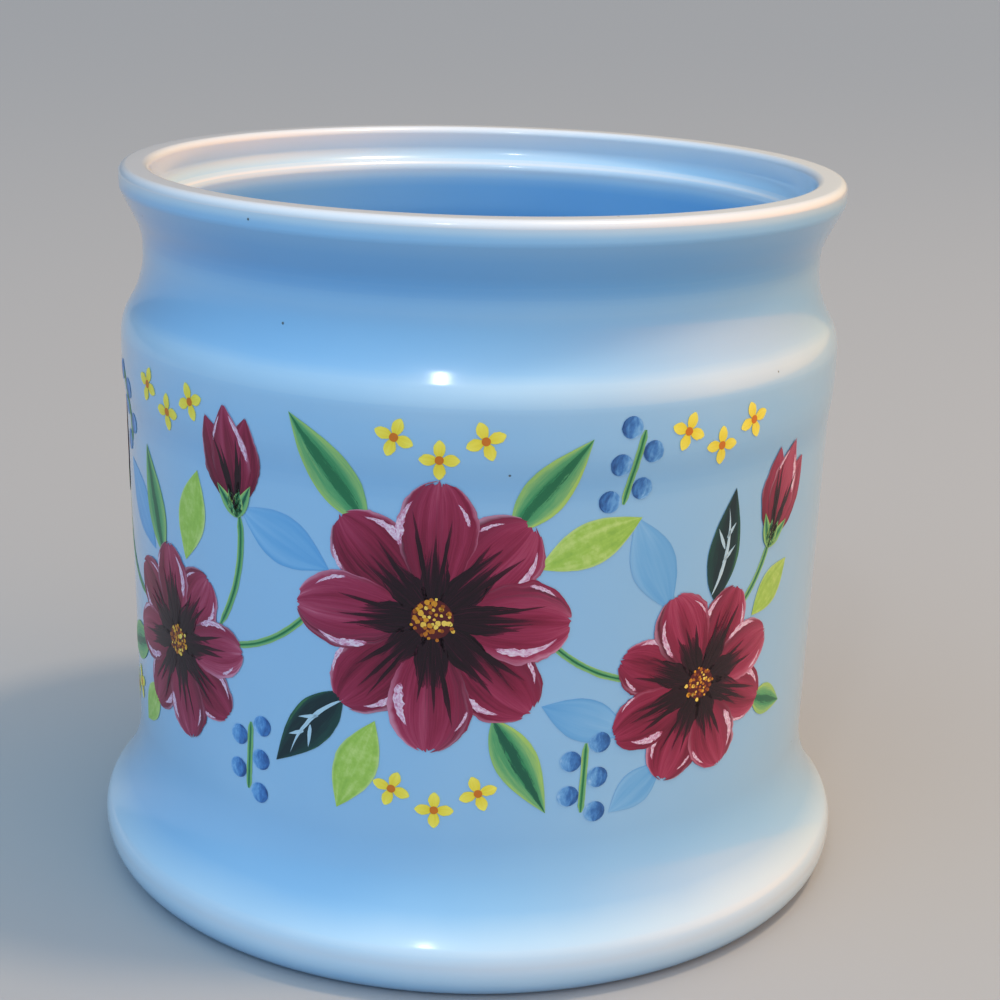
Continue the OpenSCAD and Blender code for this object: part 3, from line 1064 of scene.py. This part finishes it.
def pale_vein_enamel():
    """Pale blue, streaked along its brush strokes."""
    vein = Recipe("pale_vein_enamel", **ENAMEL_FINISH)
    streak = vein.streaks(7, 1.2, detail=5)
    vein.colour(vein.ramp(streak, [(0.3, tint(140, 186, 214)), (0.7, tint(196, 222, 236))]))
    vein.bump(streak, FINE_BRUSH_DEPTH)
    return vein.material


def green_enamel():
    """A thin green wash with lime edges and a dark dry stroke down the middle.

    Strokes with the second mark are nearly black.
    """
    green = Recipe("green_enamel", **ENAMEL_FINISH)
    across, along = green.stroke_axes()
    side = green.off_middle(across)
    shade = green.marked("shade")
    sweep = green.streaks(5, 1.4)
    bristle = green.streaks(26, 9, detail=6, roughness=0.75)
    depth = green.math("MULTIPLY_ADD", side, 0.55, green.math("MULTIPLY_ADD", sweep, 0.9, -0.58))
    depth = green.math("MULTIPLY_ADD", bristle, 0.5, depth)
    wash = green.ramp(depth, [
        (0.12, tint(52, 138, 92)),
        (0.34, tint(86, 160, 108)),
        (0.54, tint(126, 180, 116)),
        (0.76, tint(168, 202, 104)),
    ])
    core = green.math("MULTIPLY_ADD", bristle, 1.2, green.math("MULTIPLY_ADD", side, -1.0, -0.34))
    core = green.math("MULTIPLY", green.fade(core, -0.03, 0.06), green.fade(along, 0.02, 0.14))
    core_colour = green.mix(green.math("MINIMUM", shade, 1.0), tint(16, 70, 66), tint(34, 116, 74))
    fresh = green.mix(green.math("MULTIPLY", core, 0.92), wash, core_colour)
    dark = green.ramp(green.math("MULTIPLY_ADD", bristle, 0.1, depth), [
        (0.40, tint(16, 44, 52)),
        (0.74, tint(24, 70, 68)),
        (1.0, tint(86, 150, 84)),
    ])
    green.colour(green.mix(green.math("GREATER_THAN", shade, 1.0), fresh, dark))
    green.bump(bristle, BRUSH_DEPTH)
    return green.material


def lime_enamel():
    """Flat lime, dabbed on so that paler and deeper touches show, and thin at the edges."""
    lime = Recipe("lime_enamel", **ENAMEL_FINISH)
    side = lime.off_middle(lime.stroke_axes()[0])
    dabs = lime.noise(lime.place(), 620, 4, 0.65)
    sweep = lime.streaks(5, 1.2, detail=3, roughness=0.5)
    depth = lime.math("MULTIPLY_ADD", sweep, 0.5, lime.math("MULTIPLY", dabs, 0.5))
    body = lime.ramp(depth, [
        (0.36, tint(140, 184, 78)),
        (0.50, tint(158, 198, 88)),
        (0.64, tint(186, 214, 124)),
    ])
    edge = lime.math("MULTIPLY", lime.fade(side, 0.84, 1.0), 0.6)
    lime.colour(lime.mix(edge, body, tint(196, 218, 160)))
    lime.bump(dabs, BRUSH_DEPTH)
    return lime.material


def sky_enamel():
    """A thin blue wash that the glaze shows through where it is thinnest."""
    sky = Recipe("sky_enamel", **ENAMEL_FINISH)
    across, along = sky.stroke_axes()
    sweep = sky.streaks(4, 1.0, roughness=0.55)
    depth = sky.math("MULTIPLY_ADD", sweep, 0.7, sky.math("MULTIPLY", along, 0.3))
    body = sky.ramp(depth, [
        (0.30, tint(92, 160, 218)),
        (0.50, tint(110, 173, 224)),
        (0.72, tint(138, 190, 232)),
    ])
    edge = sky.math("MULTIPLY", sky.fade(sky.off_middle(across), 0.8, 1.0), 0.35)
    sky.colour(sky.mix(edge, body, tint(78, 146, 206)))
    return sky.material


def blue_enamel():
    """Mid blue, round touches: deep at the lower left and pale at the upper right."""
    blue = Recipe("blue_enamel", **ENAMEL_FINISH)
    across = blue.stroke_axes()[0]
    streak = blue.streaks(4, 3)
    depth = blue.math("MULTIPLY_ADD", streak, 0.9, -0.2)
    depth = blue.math("ADD", blue.math("MULTIPLY", across, 0.4), depth)
    blue.colour(blue.ramp(depth, [
        (0.20, tint(36, 78, 138)),
        (0.42, tint(62, 122, 190)),
        (0.62, tint(104, 164, 220)),
        (0.80, tint(166, 206, 240)),
    ]))
    blue.bump(streak, BRUSH_DEPTH)
    return blue.material


def yellow_enamel():
    """Bright yellow, ochre towards the middle of each star flower, and orange for the eyes."""
    yellow = Recipe("yellow_enamel", **ENAMEL_FINISH)
    along = yellow.stroke_axes()[1]
    streak = yellow.streaks(5, 2)
    depth = yellow.math("MULTIPLY_ADD", along, 0.55, yellow.math("MULTIPLY", streak, 0.55))
    body = yellow.ramp(depth, [
        (0.24, tint(206, 172, 44)),
        (0.42, tint(232, 212, 58)),
        (0.75, tint(244, 232, 96)),
    ])
    eye = yellow.math("GREATER_THAN", yellow.marked("shade"), 1.0)
    yellow.colour(yellow.mix(eye, body, tint(206, 116, 34)))
    yellow.bump(streak, BRUSH_DEPTH)
    return yellow.material


def gold_enamel():
    """Gold touches from ochre to pale yellow over a dark brown ground."""
    gold = Recipe("gold_enamel", **ENAMEL_FINISH)
    shade = gold.marked("shade")
    grain = gold.noise(gold.place(), 1500, 2, 0.5)
    depth = gold.math("MULTIPLY_ADD", grain, 0.3, gold.math("ADD", shade, -0.15))
    dots = gold.ramp(depth, [
        (0.0, tint(126, 54, 26)),
        (0.30, tint(184, 108, 28)),
        (0.60, tint(222, 160, 42)),
        (1.0, tint(246, 220, 104)),
    ])
    ground = gold.math("GREATER_THAN", shade, 1.0)
    gold.colour(gold.mix(ground, dots, tint(84, 22, 28)))
    return gold.material


# The print, coat by coat

def print_blossoms():
    petals = [press(petal_ring(b.d, LOWER_RING), b, LOWER_PETAL_COAT) for b in OPEN_BLOSSOMS]
    petals += [press(bud_back(), b, LOWER_PETAL_COAT) for b in BUDS]
    petals += [press(petal_ring(b.d, UPPER_RING), b, UPPER_PETAL_COAT) for b in OPEN_BLOSSOMS]
    petals += [press(bud_front(), b, UPPER_PETAL_COAT) for b in BUDS]
    finish_piece(petals, "petals_painted", "blossom_petals", crimson_enamel())

    low = LOWER_PETAL_COAT + LIGHT_OVER
    high = UPPER_PETAL_COAT + LIGHT_OVER
    lights = [press(petal_lights(b.d, LOWER_RING), b, low) for b in OPEN_BLOSSOMS]
    lights += [press(petal_lights(b.d, UPPER_RING), b, high) for b in OPEN_BLOSSOMS]
    lights += [press(bud_lights(), b, high) for b in BUDS]
    finish_piece(lights, "petal_lights", "blossom_petals", pale_rose_enamel())

    darks = [press(dark_heart(b.d), b, THROAT_COAT) for b in OPEN_BLOSSOMS]
    darks += [press(dark_bristles(b.d), b, BRISTLE_COAT) for b in OPEN_BLOSSOMS]
    darks += [press(bud_dark(), b, THROAT_COAT) for b in BUDS]
    finish_piece(darks, "throats_painted", "blossom_hearts", plum_enamel())

    ground = [press(stamen_ground(b.d), b, STAMEN_GROUND_COAT) for b in OPEN_BLOSSOMS]
    dots = [press(stamen_dots(b.d), b, STAMEN_COAT) for b in OPEN_BLOSSOMS]
    finish_piece(ground + dots, "stamens_dotted", "blossom_stamens", gold_enamel())


def print_leaves():
    stems = [press(long_stem(s), s, STEM_COAT) for s in STEMS]
    stems += [press(berry_stem(), s, STEM_COAT) for s in BERRY_SPRIGS]
    greens = []
    veins = []
    for i, s in enumerate(GREEN_SPRAYS):
        dark = i % DARK_LEAF_EVERY == DARK_LEAF_FIRST
        green = leaf(s, GREEN_FULL_SHARE, shade=SECOND_MARK if dark else None)
        greens.append(press(green, s, GREEN_COAT))
        if dark:
            veins.append(press(pale_vein(s), s, GREEN_COAT + 1))
    greens += [press(sepals(), b, SEPAL_COAT) for b in BUDS]
    finish_piece(stems + greens, "leaves_green", "green_leaves", green_enamel())
    finish_piece(veins, "leaf_veins", "green_leaves", pale_vein_enamel())

    limes = [press(leaf(s), s, LIME_COAT) for s in LIME_SPRAYS]
    finish_piece(limes, "leaves_lime", "lime_leaves", lime_enamel())
    washes = [press(leaf(s), s, WASH_COAT) for s in BLUE_SPRAYS]
    finish_piece(washes, "leaves_blue", "blue_leaves", sky_enamel())


def print_small_flowers():
    berries = [press(berry_row(), s, SPRIG_COAT) for s in BERRY_SPRIGS]
    finish_piece(berries, "berries_painted", "blue_berries", blue_enamel())
    stars = [press(star_trio(star_flower), s, SPRIG_COAT) for s in STAR_SPRIGS]
    eyes = [press(star_trio(star_eye), s, SPRIG_COAT + 1) for s in STAR_SPRIGS]
    finish_piece(stars + eyes, "stars_painted", "yellow_stars", yellow_enamel())


print_blossoms()
print_leaves()
print_small_flowers()

# The photograph's viewpoint, fitted to the rings of the lip, waist and foot
CAMERA_PLACE = (0, -321.74 * MM, 160.31 * MM)
CAMERA_YAW = math.radians(0.7505)
CAMERA_PITCH = math.radians(17.19)
CAMERA_ROLL = math.radians(1.6137)
CAMERA_LENS_MM = 68.9
SENSOR_MM = 36
CLIP_START = 10 * MM


def set_up_camera():
    bpy.ops.object.camera_add(location=CAMERA_PLACE)
    camera = bpy.context.object
    aim = (
        Matrix.Rotation(-CAMERA_YAW, 3, "Z")
        @ Matrix.Rotation(math.pi / 2 - CAMERA_PITCH, 3, "X")
        @ Matrix.Rotation(CAMERA_ROLL, 3, "Z")
    )
    camera.rotation_euler = aim.to_euler()
    camera.data.lens = CAMERA_LENS_MM
    camera.data.sensor_width = SENSOR_MM
    camera.data.clip_start = CLIP_START
    bpy.context.scene.camera = camera


FLOOR_SIDE = 16
FLOOR_DROP = 0.05 * MM
FLOOR_COLOUR = tint(166, 169, 174)
DISTANCE_COLOUR = tint(168, 172, 178)


def lay_floor():
    bpy.ops.mesh.primitive_plane_add(size=FLOOR_SIDE, location=(0, 0, -FLOOR_DROP))
    floor = bpy.context.object
    floor.name = "floor"
    paper = Recipe("pale_floor", Roughness=0.75, Base_Color=FLOOR_COLOUR)
    floor.data.materials.append(paper.material)


# Azimuths are in degrees from the front towards the right. Lamps are oval, sized in metres
# and watts, and look at the middle of the jar
Lamp = namedtuple("Lamp", "name azimuth elevation width height watts colour")
LAMP_DISTANCE = 1.2
KEY = Lamp("key", 80, 68, 0.14, 0.14, 6.0, (1.0, 0.72, 0.46))
SPARK = Lamp("spark", -13.5, 44.2, 0.08, 0.12, 0.85, (1, 1, 1))

# The room's even light, and the soft glows in it: cool daylight from the front and above, a
# warm glow from the right, one from high up and a pale one from behind
Glow = namedtuple("Glow", "azimuth elevation narrowness colour")
EVEN_LIGHT = (0.15, 0.165, 0.20, 1)
GLOWS = [
    Glow(-30, 48, 2.0, (0.55, 1.02, 1.43, 1)),
    Glow(85, 15, 4.0, (2.25, 0.96, 0.12, 1)),
    Glow(50, 65, 3.0, (0.58, 0.49, 0.28, 1)),
    Glow(150, 12, 8.0, (0.62, 0.50, 0.30, 1)),
]


def towards(light):
    """The direction from the jar towards a lamp or a glow."""
    a = math.radians(light.azimuth)
    e = math.radians(light.elevation)
    return Vector((math.sin(a) * math.cos(e), -math.cos(a) * math.cos(e), math.sin(e)))


def soft_lamp(light):
    direction = towards(light)
    bpy.ops.object.light_add(type="AREA", location=Vector((0, 0, JAR_H / 2)) + direction * LAMP_DISTANCE)
    lamp = bpy.context.object
    lamp.name = light.name
    lamp.rotation_euler = (-direction).to_track_quat("-Z", "Y").to_euler()
    lamp.data.shape = "ELLIPSE"
    lamp.data.size = light.width
    lamp.data.size_y = light.height
    lamp.data.energy = light.watts
    lamp.data.color = light.colour


def glow(room, light):
    """Light of the room that falls off all round one direction."""
    place = room.node("TexCoord", {}, "Generated")
    facing = room.node("VectorMath", {0: place, 1: towards(light)}, "Value", operation="DOT_PRODUCT")
    strength = room.math("POWER", room.math("MAXIMUM", facing), light.narrowness)
    return room.node("Background", {"Color": light.colour, "Strength": strength})


def light_room():
    """The room's light, and a plain pale distance where the camera sees past the floor."""
    world = bpy.data.worlds.new("studio")
    world.use_nodes = True
    room = Nodes(world.node_tree)
    light = room.node("Background", {"Color": EVEN_LIGHT})
    for one in GLOWS:
        light = room.node("AddShader", {0: light, 1: glow(room, one)})
    seen = room.node("LightPath", {}, "Is Camera Ray")
    distance = room.node("Background", {"Color": DISTANCE_COLOUR})
    either = room.node("MixShader", {0: seen, 1: light, 2: distance})
    room.tree.links.new(either, room.tree.nodes["World Output"].inputs["Surface"])
    bpy.context.scene.world = world


def light_studio():
    light_room()
    soft_lamp(KEY)
    soft_lamp(SPARK)
    bpy.context.scene.view_settings.view_transform = "Standard"


set_up_camera()
lay_floor()
light_studio()
